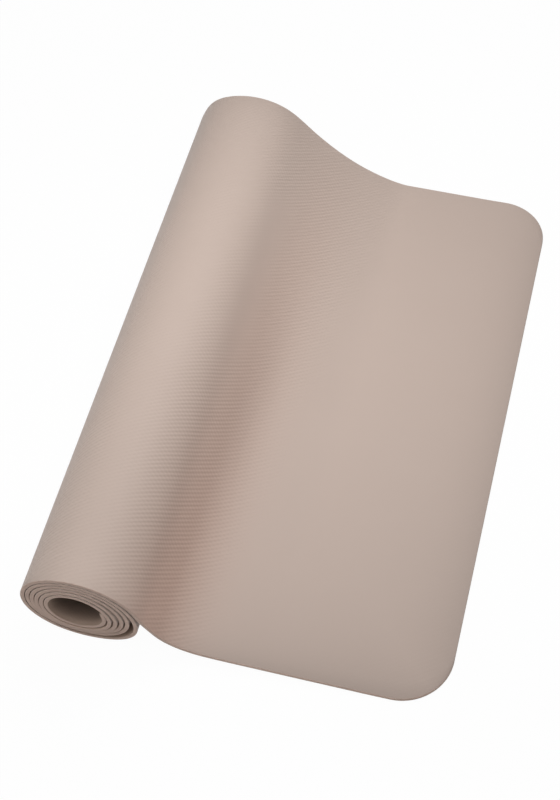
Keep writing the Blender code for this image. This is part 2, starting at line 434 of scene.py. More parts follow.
@dataclass
class Bench:
    """Adds nodes to one tree and links them."""

    tree: bpy.types.NodeTree

    @classmethod
    def emptied(cls, owner: bpy.types.Material | bpy.types.World) -> Bench:
        """Empties a material's or world's tree.

        Args:
            owner: the material or world.

        Returns:
            A bench on the tree.
        """
        owner.use_nodes = True
        owner.node_tree.nodes.clear()
        return cls(owner.node_tree)

    def add(
        self,
        kind: str,
        settings: Mapping[str, Any] | None = None,
        sockets: Mapping[str | int, Any] | None = None,
    ) -> bpy.types.Node:
        """Adds one node.

        Args:
            kind: the node's type.
            settings: its properties, which are set first. "points" are those of a curve.
            sockets: values or links of its inputs, by name or number.

        Returns:
            The node.
        """
        node = self.tree.nodes.new(kind)
        row, column = divmod(len(self.tree.nodes), NODES_IN_ROW)
        node.location = (NODE_SPACING[0] * column, NODE_SPACING[1] * row)
        for name, value in (settings or {}).items():
            if name == "points":
                self._set_points(node.mapping, value)
            else:
                setattr(node, name, value)
        for key, value in (sockets or {}).items():
            self.feed(node.inputs[key], value)
        return node

    def feed(self, socket: Socket, value: Any) -> None:
        """Gives an input socket what it takes.

        Args:
            socket: the input.
            value: an output to link it to, or else its value.
        """
        if isinstance(value, Value):
            value = value.socket
        if isinstance(value, Socket):
            self.tree.links.new(value, socket)
        else:
            socket.default_value = value

    @staticmethod
    def _set_points(mapping: bpy.types.CurveMapping, points: Stops) -> None:
        """Gives a curve node its points.

        Args:
            mapping: the node's curves, of which the first is drawn.
            points: where the curve passes, from 0 to 1 both ways.
        """
        curve = mapping.curves[0]
        for x, y in points[1:-1]:
            curve.points.new(x, y)
        curve.points[0].location = points[0]
        curve.points[-1].location = points[-1]
        mapping.update()

    def value(self, node: bpy.types.Node, output: str | int = 0) -> Value:
        """Wraps an output of a node."""
        return Value(self, node.outputs[output])

    def math(self, operation: str, *values: Value | float) -> Value:
        """Adds a Math node and gives its result."""
        return self.value(self.add("ShaderNodeMath", {"operation": operation}, dict(enumerate(values))))

    def sine(self, angle: Value) -> Value:
        """Gives the sine."""
        return self.math("SINE", angle)

    def cosine(self, angle: Value) -> Value:
        """Gives the cosine."""
        return self.math("COSINE", angle)

    def larger(self, first: Value, second: Value | float) -> Value:
        """Gives the larger of two values."""
        return self.math("MAXIMUM", first, second)

    def smaller(self, first: Value, second: Value | float) -> Value:
        """Gives the smaller of two values."""
        return self.math("MINIMUM", first, second)

    def bell(self, x: Value) -> Value:
        """Gives a bell curve, which is 1 in the middle."""
        return self.math("EXPONENT", -(x * x))

    def drawn(self, share: Value, points: Stops) -> Value:
        """Draws a value through points, which lie from 0 to 1 both ways."""
        return self.value(self.add("ShaderNodeFloatCurve", {"points": points}, {"Value": share}))

    def curve(self, x: Value, stops: Stops) -> Value:
        """Draws a value through stops and holds it level beyond them.

        Args:
            x: the distance that the value follows.
            stops: distances, and the value at each.

        Returns:
            The value.
        """
        (start, _), (end, _) = stops[0], stops[-1]
        low, high = min(y for _, y in stops), max(y for _, y in stops)
        points = [((at - start) / (end - start), (y - low) / (high - low)) for at, y in stops]
        share = self.smaller(self.larger((x - start) / (end - start), 0.0), 1.0)
        return self.drawn(share, points) * (high - low) + low

    def mix(self, factor: Value, first: Any, second: Any, blend: str = "MIX") -> Socket:
        """Mixes two colours.

        Args:
            factor: how much of the second there is, from 0 to 1.
            first: a colour or an output that gives one.
            second: another.
            blend: how the second is laid over the first.

        Returns:
            The mixed colour.
        """
        settings = {"data_type": "RGBA", "blend_type": blend, "clamp_factor": True}
        sockets = {0: factor, **dict(zip(MIX_COLOURS, (first, second)))}
        return next(out for out in self.add("ShaderNodeMix", settings, sockets).outputs if out.type == "RGBA")

    def scaled(self, colour: Socket, factor: Value) -> Socket:
        """Makes a colour lighter or darker by a factor."""
        sockets = {0: colour, "Scale": factor}
        return self.add("ShaderNodeVectorMath", {"operation": "SCALE"}, sockets).outputs[0]

    def split(self, vector: Socket) -> list[Value]:
        """Splits a vector into X, Y and Z."""
        return [Value(self, part) for part in self.add("ShaderNodeSeparateXYZ", None, {0: vector}).outputs]

    def joined(self, parts: Mapping[int, Value | Socket]) -> Socket:
        """Joins values into a vector, by the number of their axis."""
        return self.add("ShaderNodeCombineXYZ", None, parts).outputs[0]

    def captured(self, geometry: Socket, name: str, value: Value | Socket) -> tuple[Socket, Socket]:
        """Stores a value on a geometry's points.

        Args:
            geometry: the geometry.
            name: what the value is called.
            value: the value at each point.

        Returns:
            The geometry that holds the value, and the value.
        """
        node = self.add("GeometryNodeCaptureAttribute", {"domain": "POINT"})
        node.capture_items.new("FLOAT", name)
        self.feed(node.inputs[0], geometry)
        self.feed(node.inputs[1], value)
        return node.outputs[0], node.outputs[1]


# Finishes


class Side(Enum):
    """The surfaces of the sheet, by their place among its materials."""

    EMBOSSED = 0
    CUT = 1
    BASE = 2


@dataclass(frozen=True, kw_only=True)
class FoamFinish:
    """A matte foam surface with a fine grain and clouds of a slightly darker shade."""

    name: str
    colour: Colour
    shade: Colour
    roughness: float
    grain_size: float
    grain_height: float
    cloud_size: float
    sheen: float
    sheen_roughness: float = 0.55
    specular: float = 0.35
    noise_detail: float = 2.0
    noise_roughness: float = 0.55
    cloud_tone: float = 0.8
    grain_tone: float = 0.4
    pattern_tone: float = 0.12
    grain_roughness: float = 0.10
    cloud_roughness: float = 0.08

    def build(self) -> bpy.types.Material:
        """Makes the material.

        Returns:
            A node material with varying colour, roughness and relief.
        """
        material = bpy.data.materials.new(self.name)
        bench = Bench.emptied(material)
        place = self.place(bench)
        cloud = self.noise(bench, place, self.cloud_size)
        grain = self.noise(bench, place, self.grain_size)
        pattern, height = self.pattern(bench, place)
        relief = height + grain * self.grain_height
        bump = bench.add("ShaderNodeBump", None, {"Strength": 1.0, "Distance": 1.0, "Height": relief})
        tone = 0.5 + cloud * self.cloud_tone + grain * self.grain_tone + pattern * self.pattern_tone
        even = bench.mix(tone, (*self.shade, 1.0), (*self.colour, 1.0))
        sockets = {
            "Base Color": self.tinted(bench, place, even),
            "Roughness": self.roughness + grain * self.grain_roughness + cloud * self.cloud_roughness,
            "Normal": bump.outputs[0],
            "Specular IOR Level": self.specular,
            "Sheen Weight": self.sheen,
            "Sheen Roughness": self.sheen_roughness,
        }
        shader = bench.add("ShaderNodeBsdfPrincipled", None, sockets)
        bench.add("ShaderNodeOutputMaterial", None, {0: shader.outputs[0]})
        return material

    def place(self, bench: Bench) -> Socket:
        """Gives the place that the grain follows, in metres."""
        return bench.add("ShaderNodeTexCoord").outputs["Object"]

    def noise(self, bench: Bench, place: Socket, size: float) -> Value:
        """Adds a noise.

        Args:
            bench: the material's bench.
            place: the place that the noise follows.
            size: the size of its features.

        Returns:
            The noise, as a value about 0.
        """
        sockets = {
            "Vector": place,
            "Scale": 1.0 / size,
            "Detail": self.noise_detail,
            "Roughness": self.noise_roughness,
        }
        return bench.value(bench.add("ShaderNodeTexNoise", None, sockets)) - 0.5

    def pattern(self, bench: Bench, place: Socket) -> tuple[Value | float, Value | float]:
        """Gives the pattern that is pressed into the surface.

        Args:
            bench: the material's bench.
            place: the place that the pattern follows.

        Returns:
            The pattern, from -1 to 1, and its height in metres.
        """
        return 0.0, 0.0

    def tinted(self, bench: Bench, place: Socket, colour: Socket) -> Socket:
        """Changes the colour from place to place.

        Args:
            bench: the material's bench.
            place: the place that the change follows.
            colour: the even colour.

        Returns:
            The changed colour.
        """
        return colour


@dataclass(frozen=True, kw_only=True)
class EmbossedFinish(FoamFinish):
    """A foam surface with a pressed lattice of diamonds, made by two crossing families of low ribs.

    The lattice follows the UV map, which holds the place on the sheet in metres, along it and across it.
    """

    cell_length: float
    cell_width: float
    rib_height: float
    crossing_share: float

    def place(self, bench: Bench) -> Socket:
        """Gives the place on the sheet."""
        return bench.add("ShaderNodeUVMap", {"uv_map": "sheet"}).outputs[0]

    def pattern(self, bench: Bench, place: Socket) -> tuple[Value, Value]:
        """Gives the lattice, even all over."""
        along, across, _ = bench.split(place)
        return self.lattice(bench, along, across)

    def lattice(self, bench: Bench, along: Value, across: Value) -> tuple[Value, Value]:
        """Draws the lattice.

        Args:
            bench: the material's bench.
            along: the distance along the sheet.
            across: the distance from its middle.

        Returns:
            The lattice, from -1 to 1, and its height in metres.
        """
        length_turns = along * (TURN / self.cell_length)
        width_turns = across * (TURN / self.cell_width)
        leading = bench.sine(width_turns - length_turns) * (1.0 - self.crossing_share)
        lattice = leading + bench.sine(width_turns + length_turns) * self.crossing_share
        return lattice, lattice * (2 * self.rib_height)


@dataclass(frozen=True, kw_only=True)
class FaceFinish(EmbossedFinish):
    """The face that is used, with a lattice that runs a little askew and is pressed flatter on the flap.

    Its colour holds painted shade: warmer in the fold beside the roll, darker along its crease and towards the
    sheet's margins, and painted light by the near edge on the slope.
    """

    half_width: float
    free_edge: float
    skew: float
    skew_from: float
    relief_lean: float
    relief_lean_from: float
    relief_stops: Stops
    smooth_place: float
    smooth_spread: float
    smooth_stops: Stops
    fold_shade_lean: float
    fold_shade_place: float
    fold_shade_spread: float
    fold_shade_tint: Colour
    crease_shade_place: float
    crease_shade_spread: float
    crease_shade_middle: float
    crease_shade_reach: float
    crease_shade_depth: float
    margin_shade_reach: float
    margin_shade_depth: float
    free_margin_shade_share: float
    near_margin_shade_stops: Stops
    far_margin_shade_stops: Stops

    def pattern(self, bench: Bench, place: Socket) -> tuple[Value, Value]:
        """Gives the lattice, high where it is sharply pressed.

        Args:
            bench: the material's bench.
            place: the place on the sheet.

        Returns:
            The lattice, from -1 to 1, and its height in metres.
        """
        along, across, _ = bench.split(place)
        askew = along + across * (along - self.skew_from) * self.skew
        lattice, height = self.lattice(bench, askew, across)
        lean = (along - self.relief_lean_from) * self.relief_lean
        share = bench.curve(along - (across + self.half_width) * lean, self.relief_stops)
        smooth = bench.bell((along - self.smooth_place) / self.smooth_spread)
        share = share * (1.0 - smooth * bench.curve(across, self.smooth_stops))
        return lattice * share, height * share

    def tinted(self, bench: Bench, place: Socket, colour: Socket) -> Socket:
        """Paints shade and light: warms the colour in the fold, darkens it along the crease and towards the
        margins, and lightens it by the near edge on the slope.

        Args:
            bench: the material's bench.
            place: the place on the sheet.
            colour: the even colour.

        Returns:
            The changed colour.
        """
        along, across, _ = bench.split(place)
        # Painted warm shade in the fold, strongest at the near end.
        from_roll = along - (across + self.half_width) * self.fold_shade_lean
        in_fold_shade = bench.bell((from_roll - self.fold_shade_place) / self.fold_shade_spread)
        near_share = bench.larger(0.5 - across * (0.5 / self.half_width), 0.0)
        shade_warmed = bench.mix(in_fold_shade * near_share, colour, (*self.fold_shade_tint, 1.0), "MULTIPLY")
        # Painted shade towards the margins; where the near margin's stops fall below 0 it is painted light.
        near = self._margin_shade(bench, across + self.half_width) * bench.curve(along, self.near_margin_shade_stops)
        far = self._margin_shade(bench, self.half_width - across) * bench.curve(along, self.far_margin_shade_stops)
        free = self._margin_shade(bench, self.free_edge - along) * self.free_margin_shade_share
        darkest_shade = bench.larger(bench.larger(far, free), 0.0)
        margin = bench.larger(darkest_shade, near) + bench.smaller(near, 0.0)
        # Painted shade along the crease of the fold.
        crease = bench.bell((from_roll - self.crease_shade_place) / self.crease_shade_spread)
        crease = crease * bench.bell((across - self.crease_shade_middle) / self.crease_shade_reach)
        return bench.scaled(shade_warmed, 1.0 - (margin * self.margin_shade_depth + crease * self.crease_shade_depth))

    def _margin_shade(self, bench: Bench, distance: Value) -> Value:
        """Gives how much of the margin's painted shade is left at a distance from an edge."""
        return bench.math("EXPONENT", -distance / self.margin_shade_reach)


@dataclass(frozen=True, kw_only=True)
class BoreFinish(EmbossedFinish):
    """The underside inside the roll, with painted light at the mouth of the bore and painted shade deep inside.
    """

    half_width: float
    bore_shade_stops: Stops

    def tinted(self, bench: Bench, place: Socket, colour: Socket) -> Socket:
        """Paints shade that darkens the colour with the distance from the roll's end, and light near the end.
        """
        depth = self.half_width - abs(bench.split(place)[1])
        return bench.scaled(colour, bench.curve(depth, self.bore_shade_stops))


EMBOSSED_FOAM = FaceFinish(
    name="embossed_foam",
    colour=(0.545, 0.438, 0.381),
    shade=(0.515, 0.409, 0.353),
    roughness=0.62,
    grain_size=0.0011,
    grain_height=0.00005,
    cloud_size=0.11,
    sheen=0.12,
    cell_length=0.00662,
    cell_width=0.00461,
    rib_height=0.00014,
    crossing_share=0.22,
    half_width=0.305,
    free_edge=0.536,
    skew=0.66,
    skew_from=0.235,
    relief_lean=0.55,
    relief_lean_from=0.15,
    relief_stops=(
        (0.0, 0.45), (0.13, 0.45), (0.145, 0.30), (0.157, 0.18), (0.172, 0.18), (0.186, 0.26), (0.200, 0.34),
        (0.215, 0.36), (0.270, 0.36), (0.287, 0.30), (0.305, 0.15), (0.325, 0.05), (0.536, 0.04),
    ),
    smooth_place=0.236,
    smooth_spread=0.026,
    smooth_stops=(
        (-0.305, 0.0), (-0.06, 0.0), (0.0, 0.55), (0.06, 0.9), (0.18, 0.9), (0.22, 0.0), (0.305, 0.0),
    ),
    # Painted warm shade of the fold, painted shade along its crease, and painted shade and light at the
    # margins.
    fold_shade_lean=0.06,
    fold_shade_place=0.248,
    fold_shade_spread=0.042,
    fold_shade_tint=(1.080, 0.935, 0.885),
    crease_shade_place=0.260,
    crease_shade_spread=0.022,
    crease_shade_middle=-0.045,
    crease_shade_reach=0.14,
    crease_shade_depth=0.12,
    margin_shade_reach=0.030,
    margin_shade_depth=0.15,
    free_margin_shade_share=1.3,
    near_margin_shade_stops=(
        (0.0, 0.0), (0.12, 0.0), (0.16, -0.5), (0.22, -0.5), (0.25, 0.0), (0.30, 0.6), (0.34, 1.0),
        (0.536, 1.4),
    ),
    far_margin_shade_stops=((0.0, 0.3), (0.15, 0.4), (0.20, 0.8), (0.24, 0.3), (0.28, 0.0), (0.536, 0.0)),
)
# Paler than the embossed face: the lift is painted light on the cut faces and edges, which the lamps light
# less.
CUT_FOAM = FoamFinish(
    name="cut_foam",
    colour=(0.642, 0.481, 0.403),
    shade=(0.577, 0.421, 0.346),
    roughness=0.78,
    grain_size=0.0007,
    grain_height=0.00012,
    cloud_size=0.006,
    sheen=0.05,
)
UNDERSIDE: dict[str, float] = {
    "roughness": 0.72,
    "grain_size": 0.0014,
    "grain_height": 0.00004,
    "cloud_size": 0.09,
    "sheen": 0.08,
    "cell_length": 0.0052,
    "cell_width": 0.0034,
    "crossing_share": 0.50,
}
BASE_FOAM = EmbossedFinish(
    name="base_foam",
    colour=(0.420, 0.322, 0.268),
    shade=(0.380, 0.288, 0.236),
    rib_height=0.00005,
    **UNDERSIDE,
)
BORE_FOAM = BoreFinish(
    name="bore_foam",
    colour=(0.425, 0.312, 0.248),
    shade=(0.385, 0.280, 0.220),
    rib_height=0.00001,
    half_width=0.305,
    # Painted light at the bore's mouth and painted shade deeper inside.
    bore_shade_stops=(
        (0.0, 1.25), (0.0024, 1.20), (0.0064, 0.95), (0.0103, 0.72), (0.0143, 0.56), (0.020, 0.50),
        (0.030, 0.45),
    ),
    **UNDERSIDE,
)


@dataclass
class Palette:
    """The materials of the sheet's surfaces, in the order of Side, and the underside's inside the roll."""

    finishes: Sequence[FoamFinish] = (EMBOSSED_FOAM, CUT_FOAM, BASE_FOAM)
    bore_finish: FoamFinish = BORE_FOAM
    materials: list[bpy.types.Material] = field(init=False)
    bore: bpy.types.Material = field(init=False)

    def __post_init__(self) -> None:
        """Makes the materials."""
        self.materials = [finish.build() for finish in self.finishes]
        self.bore = self.bore_finish.build()

    def in_roll(self, side: Side) -> bpy.types.Material:
        """Gives the material of a surface inside the roll."""
        return self.bore if side is Side.BASE else self.materials[side.value]


# The wound strip


@dataclass
class WoundStrip:
    """The inner turns, from the sheet's inner end to the bottom of the outermost turn, made by a node tree."""

    sizes: MatSizes
    palette: Palette
    steps: int = 1000
    edge_steps: int = 3
    measured_points: int = 4000
    slide_scale: float = 0.008
    facing: float = 0.6
    name: str = "roll_turns"
    tree_sizes: tuple[str, ...] = (
        "turns", "inner_radius", "pitch", "pitch_ovality", "pitch_to_free_side", "fullness", "fullness_angle",
        "fullness_spread", "bulge", "bulge_angle", "bulge_spread", "outer_strip_angle", "width", "thickness",
        "edge_radius",
    )

    def build(self) -> Piece:
        """Makes the piece, on the roll's body.

        Returns:
            The finished mesh object.
        """
        piece = add_object(self.name, bpy.data.meshes.new(self.name))
        modifier = piece.modifiers.new("winding", "NODES")
        modifier.node_group, inputs = self._tree()
        for identifier, value in inputs.items():
            modifier[identifier] = value
        graph = bpy.context.evaluated_depsgraph_get()
        mesh = bpy.data.meshes.new_from_object(piece.evaluated_get(graph))
        piece.modifiers.clear()
        piece.data = mesh
        mesh.name = self.name
        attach(piece, "roll")
        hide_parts("top_foam_winding", "scrim_winding", "base_foam_winding")
        self.sizes.width
        self.length()
        return piece

    def length(self) -> float:
        """Gives the strip's length along its centre line."""
        angles = np.linspace(self.sizes.outer_strip_angle, self.sizes.turns * TURN, self.measured_points)
        return float(distances(self.sizes.wound(angles))[-1])

    def _inputs(self) -> list[tuple[str, str, Any]]:
        """Lists the tree's inputs.

        Returns:
            The name, the kind and the value of each.
        """
        centre = self.sizes.centre()
        floats = {name.replace("_", " ").title(): getattr(self.sizes, name) for name in self.tree_sizes}
        floats |= {"Telescoping": self.slide_scale, "Centre X": float(centre[0]), "Centre Z": float(centre[1])}
        inputs = [(name, "Float", value) for name, value in floats.items()]
        inputs += [("Steps", "Int", self.steps), ("Edge Steps", "Int", self.edge_steps)]
        for side in Side:
            inputs.append((f"{side.name.title()} Material", "Material", self.palette.in_roll(side)))
        return inputs

    def _tree(self) -> tuple[bpy.types.NodeTree, dict[str, Any]]:
        """Builds the tree that winds the strip.

        Returns:
            The tree, and the modifier's values by socket identifier.
        """
        tree = bpy.data.node_groups.new("wound_strip", "GeometryNodeTree")
        tree.interface.new_socket(name="Geometry", in_out="OUTPUT", socket_type="NodeSocketGeometry")
        values: dict[str, Any] = {}
        for name, kind, value in self._inputs():
            socket = tree.interface.new_socket(name=name, in_out="INPUT", socket_type=f"NodeSocket{kind}")
            values[socket.identifier] = value
        bench = Bench(tree)
        given = bench.add("NodeGroupInput")
        path, slid = self._path(bench, given)
        strip = self._strip(bench, given, path, slid)
        bench.add("NodeGroupOutput", None, {0: self._dressed(bench, given, strip)})
        return tree, values

    def _slide_points(self) -> list[tuple[float, float]]:
        """Says how far the turns are slid out of the near end.

        Returns:
            Shares of the strip's angle from its inner end, and the slide at each, as a share of the scale above
            or below 0.5.
        """
        outer, inner = self.sizes.outer_strip_angle, self.sizes.turns * TURN
        points = []
        for degrees, slide in reversed(self.sizes.telescoping):
            share = (inner - math.radians(degrees)) / (inner - outer)
            points.append((min(1.0, max(0.0, share)), 0.5 + slide / self.slide_scale))
        return points

    def _path(self, bench: Bench, given: bpy.types.Node) -> tuple[Socket, Socket]:
        """Adds the nodes that draw the strip's centre line, from the inner end outwards.

        Args:
            bench: the tree's bench.
            given: the tree's input node.

        Returns:
            The curve, and how far each of its turns is slid out of the roll's near end.
        """
        size = {socket.name: Value(bench, socket) for socket in given.outputs if socket.name}
        line = bench.add("GeometryNodeMeshLine", None, {"Count": size["Steps"] + 1})
        share = bench.value(bench.add("GeometryNodeInputIndex")) / size["Steps"]
        inner = size["Turns"] * TURN
        angle = inner - (inner - size["Outer Strip Angle"]) * share
        turns_left = size["Turns"] - angle / TURN
        oval = size["Pitch Ovality"] * bench.cosine(angle * 2.0)
        pitch = size["Pitch"] - oval - size["Pitch To Free Side"] * bench.sine(angle)
        swellings = []
        for name in ("Fullness", "Bulge"):
            from_middle = bench.math("WRAP", angle - size[f"{name} Angle"], math.pi, -math.pi)
            swellings.append(size[name] * bench.bell(from_middle / size[f"{name} Spread"]))
        outer = angle < size["Bulge Angle"] + math.pi
        radius = size["Inner Radius"] + turns_left * pitch + swellings[0] + swellings[1] * outer
        slide = (0.5 - bench.drawn(share, self._slide_points())) * size["Telescoping"]
        x = size["Centre X"] - radius * bench.sine(angle)
        z = size["Centre Z"] + radius * bench.cosine(angle)
        points, slid = bench.captured(line.outputs[0], "Slid", slide)
        moved = {"Geometry": points, "Position": bench.joined({0: x, 2: z})}
        placed = bench.add("GeometryNodeSetPosition", None, moved)
        return bench.add("GeometryNodeMeshToCurve", None, {0: placed.outputs[0]}).outputs[0], slid

    @staticmethod
    def _strip(bench: Bench, given: bpy.types.Node, path: Socket, slid: Socket) -> Socket:
        """Adds the nodes that carry the sheet's cross-section along its path and map its surface.

        Args:
            bench: the tree's bench.
            given: the tree's input node.
            path: the centre line.
            slid: how far each place of it is slid along the roll.

        Returns:
            The mesh.
        """
        size = given.outputs
        sockets = {"Width": size["Width"], "Height": size["Thickness"]}
        section = bench.add("GeometryNodeCurvePrimitiveQuadrilateral", {"mode": "RECTANGLE"}, sockets)
        sockets = {"Curve": section.outputs[0], "Radius": size["Edge Radius"], "Count": size["Edge Steps"]}
        rounded = bench.add("GeometryNodeFilletCurve", {"mode": "POLY"}, sockets)
        parameter = bench.add("GeometryNodeSplineParameter")
        curve, along = bench.captured(path, "Along", parameter.outputs["Length"])
        whole = bench.add("GeometryNodeCurveLength", None, {0: path})
        sockets = {"Curve": curve, "Profile Curve": rounded.outputs[0], "Fill Caps": True}
        swept = bench.add("GeometryNodeCurveToMesh", None, sockets)
        across = bench.split(bench.add("GeometryNodeInputPosition").outputs[0])[1]
        mapped = bench.joined({0: Value(bench, along) - bench.value(whole), 1: across})
        settings = {"data_type": "FLOAT2", "domain": "CORNER"}
        sockets = {"Geometry": swept.outputs[0], "Name": "sheet", "Value": mapped}
        stored = bench.add("GeometryNodeStoreNamedAttribute", settings, sockets)
        sockets = {"Geometry": stored.outputs[0], "Offset": bench.joined({1: slid})}
        return bench.add("GeometryNodeSetPosition", None, sockets).outputs[0]

    def _dressed(self, bench: Bench, given: bpy.types.Node, strip: Socket) -> Socket:
        """Adds the nodes that give the strip's surfaces their materials.

        Args:
            bench: the tree's bench.
            given: the tree's input node.
            strip: the mesh.

        Returns:
            The dressed mesh.
        """
        normal = bench.split(bench.add("GeometryNodeInputNormal").outputs[0])
        place = bench.split(bench.add("GeometryNodeInputPosition").outputs[0])
        from_x = place[0] - bench.value(given, "Centre X")
        from_z = place[2] - bench.value(given, "Centre Z")
        away = bench.math("SQRT", from_x * from_x + from_z * from_z)
        outwards = (normal[0] * from_x + normal[2] * from_z) / away
        chosen = {Side.CUT: True, Side.EMBOSSED: outwards > self.facing, Side.BASE: outwards < -self.facing}
        for side, selection in chosen.items():
            material = given.outputs[f"{side.name.title()} Material"]
            sockets = {"Geometry": strip, "Selection": selection, "Material": material}
            strip = bench.add("GeometryNodeSetMaterial", None, sockets).outputs[0]
        smooth = bench.add("GeometryNodeSetShadeSmooth", None, {0: strip})
        return bench.add("GeometryNodeRealizeInstances", None, {0: smooth.outputs[0]}).outputs[0]


# The free stretches


@dataclass
class Stretch:
    """One stretch of the outer sheet, between two places on its lines, as a closed mesh."""

    name: str
    lines: SheetLines
    palette: Palette
    start: float
    end: float
    step: float = 0.0025
    rim: float = 0.0004
    across: int = 36
    edge_steps: int = 3

    @property
    def sizes(self) -> MatSizes:
        """Gives the mat's sizes."""
        return self.lines.sizes

    def places(self) -> Array:
        """Chooses the cross-sections, with one close to each cut.

        Returns:
            Their places.
        """
        count = max(2, round((self.end - self.start - 2 * self.rim) / self.step))
        inner = np.linspace(self.start + self.rim, self.end - self.rim, count + 1)
        return np.concatenate(([self.start], inner, [self.end]))

    def outline(self, place: float) -> tuple[float, float]:
        """Gives the sheet's half width and half thickness at a place."""
        return self.sizes.width / 2, self.sizes.thickness / 2

    def area(self) -> float:
        """Gives the stretch's flat area."""
        return self.sizes.width * (self.end - self.start)

    def _ring(self, half_width: float, half_thickness: float) -> Array:
        """Draws a cross-section of the sheet.

        Args:
            half_width: half its width there.
            half_thickness: half its thickness there.

        Returns:
            Points as the place across the sheet and the distance from its middle, all round it.
        """
        radius = min(self.sizes.edge_radius, half_thickness)
        turn = np.linspace(0.0, QUARTER_TURN, self.edge_steps + 1)
        flat = np.linspace(-1.0, 1.0, self.across + 1) * (half_width - radius)
        edge_y = half_width - radius + radius * np.sin(turn[1:])
        edge_z = half_thickness - radius + radius * np.cos(turn[1:])
        half = np.concatenate(
            (
                np.stack((-edge_y[::-1], edge_z[::-1]), axis=-1),
                np.stack((flat, np.full_like(flat, half_thickness)), axis=-1),
                np.stack((edge_y, edge_z), axis=-1),
            )
        )
        return np.concatenate((half, half[::-1] * (1.0, -1.0)))

    def mesh(self) -> bpy.types.Mesh:
        """Builds the mesh.

        Returns:
            A closed mesh with its UV map, its materials' indices and smooth faces.
        """
        points: list[Array] = []
        maps: list[Array] = []
        for place in self.places():
            ring = self._ring(*self.outline(place))
            near, far, near_up, far_up = self.lines.section(place)
            share = ring[:, :1] / self.sizes.width + 0.5
            up = near_up + (far_up - near_up) * share
            up /= np.linalg.norm(up, axis=1)[:, None]
            flat = near + (far - near) * share + up * ring[:, 1:]
            points.append(np.stack((flat[:, 0], ring[:, 0], flat[:, 1]), axis=-1))
            maps.append(np.stack((np.full(len(ring), place), ring[:, 0]), axis=-1))
        count, size = len(points), len(points[0])
        faces, sides = self._walls(count, size)
        mesh = bpy.data.meshes.new(self.name)
        mesh.from_pydata(np.concatenate(points).tolist(), [], faces)
        for material in self.palette.materials:
            mesh.materials.append(material)
        mesh.polygons.foreach_set("material_index", sides)
        mesh.polygons.foreach_set("use_smooth", [True] * len(faces))
        corners = np.zeros(len(mesh.loops), np.int32)
        mesh.loops.foreach_get("vertex_index", corners)
        mapped = np.concatenate(maps)[corners].astype(np.float32)
        mesh.uv_layers.new(name="sheet").data.foreach_set("uv", mapped.ravel())
        mesh.update()
        self._keep_rims_sharp(mesh, count, size)
        return mesh

    def _walls(self, count: int, size: int) -> tuple[list[tuple[int, ...]], list[int]]:
        """Lists the faces between the rings and across both ends.

        Args:
            count: how many rings there are.
            size: how many points each has.

        Returns:
            The faces, and the material index of each.
        """
        top = range(self.edge_steps, self.edge_steps + self.across)
        half = size // 2
        faces: list[tuple[int, ...]] = []
        sides: list[int] = []
        for ring in range(count - 1):
            low, high = ring * size, (ring + 1) * size
            for j in range(size):
                k = (j + 1) % size
                faces.append((low + j, high + j, high + k, low + k))
                if j in top:
                    sides.append(Side.EMBOSSED.value)
                elif j >= half and size - 2 - j in top:
                    sides.append(Side.BASE.value)
                else:
                    sides.append(Side.CUT.value)
        last = (count - 1) * size
        for j in range(half - 1):
            k = size - 1 - j
            faces.append((j, j + 1, k - 1, k))
            faces.append((last + j + 1, last + j, last + k, last + k - 1))
            sides += [Side.CUT.value] * 2
        return faces, sides

    @staticmethod
    def _keep_rims_sharp(mesh: bpy.types.Mesh, count: int, size: int) -> None:
        """Marks the rims of both end faces as sharp, so that they don't tilt the normals beside them.

        Args:
            mesh: the stretch's mesh.
            count: how many rings it has.
            size: how many points each has.
        """
        ends = np.zeros(len(mesh.edges) * 2, np.int32)
        mesh.edges.foreach_get("vertices", ends)
        ends = ends.reshape(-1, 2)
        rims = (ends < size).all(axis=1) | (ends >= (count - 1) * size).all(axis=1)
        mesh.attributes.new("sharp_edge", "BOOLEAN", "EDGE").data.foreach_set("value", rims)

    def build(self) -> Piece:
        """Makes the piece's object, which rides on nothing yet."""
        return add_object(self.name, self.mesh())

    def declare(self, piece: Piece, rests_on: Sequence[str]) -> None:
        """Works out how large the stretch is when flat, and its flat area.

        Args:
            piece: the stretch's object; not used.
            rests_on: the names of what it lies on; not used.
        """
        flat = (self.sizes.width, self.end - self.start)
        self.area()


@dataclass
class FreeEnd(Stretch):
    """The last stretch, with the free edge and its two rounded corners."""

    corner_rings: int = 40
    edge_rings: int = 6

    def places(self) -> Array:
        """Chooses the cross-sections, which follow the corners and the rounded edge.

        Returns:
            Their places.
        """
        corner_radius, edge_radius = self.sizes.corner_radius, self.sizes.edge_radius
        corner = self.end - corner_radius
        count = max(2, round((corner - self.start) / self.step))
        straight = np.linspace(self.start + self.rim, corner, count)
        arc = corner + corner_radius * np.sin(np.linspace(0.0, QUARTER_TURN, self.corner_rings)[1:-1])
        edge = self.end - edge_radius * (1 - np.sin(np.linspace(0.0, QUARTER_TURN, self.edge_rings)))
        return np.concatenate(([self.start], straight, arc[arc < self.end - edge_radius], edge))

    def outline(self, place: float) -> tuple[float, float]:
        """Gives the sheet's outline at a place, less the corners and the rounded edge.

        Args:
            place: the distance along the mean line.

        Returns:
            Half the width and half the thickness.
        """
        halves = []
        radii = (self.sizes.corner_radius, self.sizes.edge_radius)
        for half, radius in zip(super().outline(place), radii):
            into = place - (self.end - radius)
            if into > 0:
                half -= radius - math.sqrt(max(0.0, radius**2 - into**2))
            halves.append(half)
        return halves[0], halves[1]

    def area(self) -> float:
        """Gives the stretch's flat area, less what its two corners lack."""
        return super().area() - 2 * (1 - math.pi / 4) * self.sizes.corner_radius**2


